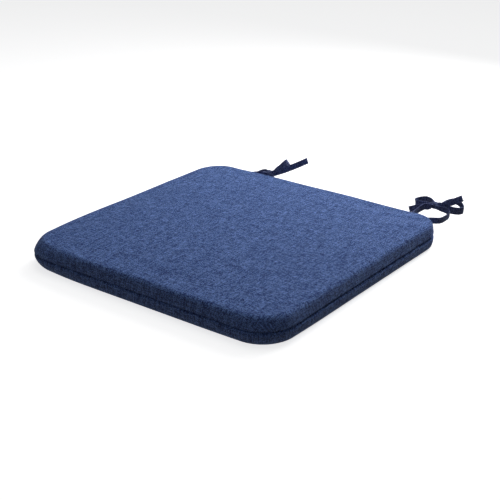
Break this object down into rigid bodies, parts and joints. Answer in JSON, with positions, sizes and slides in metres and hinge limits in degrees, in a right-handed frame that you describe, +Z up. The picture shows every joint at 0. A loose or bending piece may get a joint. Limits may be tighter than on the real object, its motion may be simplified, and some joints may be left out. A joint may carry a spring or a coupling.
{
  "type": "chair seat pad",
  "caption": "Square foam seat pad in a blue linen-look zipped cover, with tape ties knotted in bows at the rear corners.",
  "frame": {"origin": "middle of the pad's flat underside, on the surface that it rests on", "axes": "+Z up out of the sitting surface, +Y towards the chair's back and the ties, +X to the sitter's left hand seen from the front, which is the viewer's right"},
  "size_m": [0.4106, 0.4773, 0.0672],
  "materials": {
    "cover_cloth": "heathered linen-look plain weave, matt",
    "tie_tape": "folded and stitched tape of dark navy cloth, matt",
    "nonslip_cloth": "dark cloth with small raised grip dots",
    "foam": "open-cell foam, matt",
    "wadding": "soft fibre sheet",
    "label": "blank satin label",
    "zip_tape": "narrow woven tape",
    "zip_coil": "semi-gloss nylon",
    "zip_metal": "satin zinc"
  },
  "bodies": {
    "pad": {"foam_core": "foam", "wadding_sheet": "wadding", "top_panel": "cover_cloth", "lower_side_band": "cover_cloth", "bottom_panel": "nonslip_cloth", "care_label": "label", "zip_upper_tape": "zip_tape", "zip_lower_tape": "zip_tape", "zip_upper_coil": "zip_coil", "zip_lower_coil": "zip_coil", "zip_end_stop": "zip_metal", "zip_upper_stop": "zip_metal", "zip_lower_stop": "zip_metal", "left_tie_root": "tie_tape", "right_tie_root": "tie_tape"},
    "zip_slider": {"zip_slider": "zip_metal"},
    "zip_pull": {"zip_pull": "zip_metal"},
    "left_tie": {"left_tie_inner_strand": "tie_tape", "left_tie_outer_strand": "tie_tape", "left_tie_knot": "tie_tape"},
    "left_tie_tail_right": {"left_tie_tail_right": "tie_tape"},
    "left_tie_tail_left": {"left_tie_tail_left": "tie_tape"},
    "left_tie_loop_right": {"left_tie_loop_right": "tie_tape"},
    "left_tie_loop_left": {"left_tie_loop_left": "tie_tape"},
    "right_tie": {"right_tie_inner_strand": "tie_tape", "right_tie_outer_strand": "tie_tape", "right_tie_knot": "tie_tape"},
    "right_tie_tail_right": {"right_tie_tail_right": "tie_tape"},
    "right_tie_tail_left": {"right_tie_tail_left": "tie_tape"},
    "right_tie_loop_right": {"right_tie_loop_right": "tie_tape"},
    "right_tie_loop_left": {"right_tie_loop_left": "tie_tape"}
  },
  "joints": [
    {"name": "zip_travel", "type": "slide", "parent": "pad", "child": "zip_slider", "axis": [-1, 0, 0], "range_m": [0, 0.246]},
    {"name": "zip_pull_swing", "type": "hinge", "parent": "zip_slider", "child": "zip_pull", "pos_m": [0.12275, 0.204, 0.0185], "axis": [0, 0, -1], "range_deg": [0, 178]},
    {"name": "left_tie_swing", "type": "hinge", "parent": "pad", "child": "left_tie", "pos_m": [-0.152, 0.2061, 0.0185], "axis": [1, 0, 0], "range_deg": [-3, 12], "stiffness_Nm_per_rad": 0.08},
    {"name": "left_tail_right_swing", "type": "hinge", "parent": "left_tie", "child": "left_tie_tail_right", "pos_m": [-0.1125, 0.2301, 0.024], "axis": [0, -1, 0], "range_deg": [-12, 12], "stiffness_Nm_per_rad": 0.02},
    {"name": "left_tail_left_swing", "type": "hinge", "parent": "left_tie", "child": "left_tie_tail_left", "pos_m": [-0.1215, 0.2301, 0.024], "axis": [0, 1, 0], "range_deg": [-4, 12], "stiffness_Nm_per_rad": 0.02},
    {"name": "left_loop_right_swing", "type": "hinge", "parent": "left_tie", "child": "left_tie_loop_right", "pos_m": [-0.1125, 0.237, 0.024], "axis": [0, -1, 0], "range_deg": [-12, 12], "stiffness_Nm_per_rad": 0.02},
    {"name": "left_loop_left_swing", "type": "hinge", "parent": "left_tie", "child": "left_tie_loop_left", "pos_m": [-0.1215, 0.237, 0.024], "axis": [0, 1, 0], "range_deg": [-8, 12], "stiffness_Nm_per_rad": 0.02},
    {"name": "right_tie_swing", "type": "hinge", "parent": "pad", "child": "right_tie", "pos_m": [0.152, 0.2061, 0.0185], "axis": [1, 0, 0], "range_deg": [-3, 12], "stiffness_Nm_per_rad": 0.08},
    {"name": "right_tail_right_swing", "type": "hinge", "parent": "right_tie", "child": "right_tie_tail_right", "pos_m": [0.1645, 0.2531, 0.027], "axis": [0, -1, 0], "range_deg": [-12, 12], "stiffness_Nm_per_rad": 0.02},
    {"name": "right_tail_left_swing", "type": "hinge", "parent": "right_tie", "child": "right_tie_tail_left", "pos_m": [0.1555, 0.2531, 0.027], "axis": [0, 1, 0], "range_deg": [-5, 12], "stiffness_Nm_per_rad": 0.02},
    {"name": "right_loop_right_swing", "type": "hinge", "parent": "right_tie", "child": "right_tie_loop_right", "pos_m": [0.1645, 0.26, 0.027], "axis": [0, -1, 0], "range_deg": [-12, 12], "stiffness_Nm_per_rad": 0.02},
    {"name": "right_loop_left_swing", "type": "hinge", "parent": "right_tie", "child": "right_tie_loop_left", "pos_m": [0.1555, 0.26, 0.027], "axis": [0, 1, 0], "range_deg": [-12, 12], "stiffness_Nm_per_rad": 0.02}
  ]
}
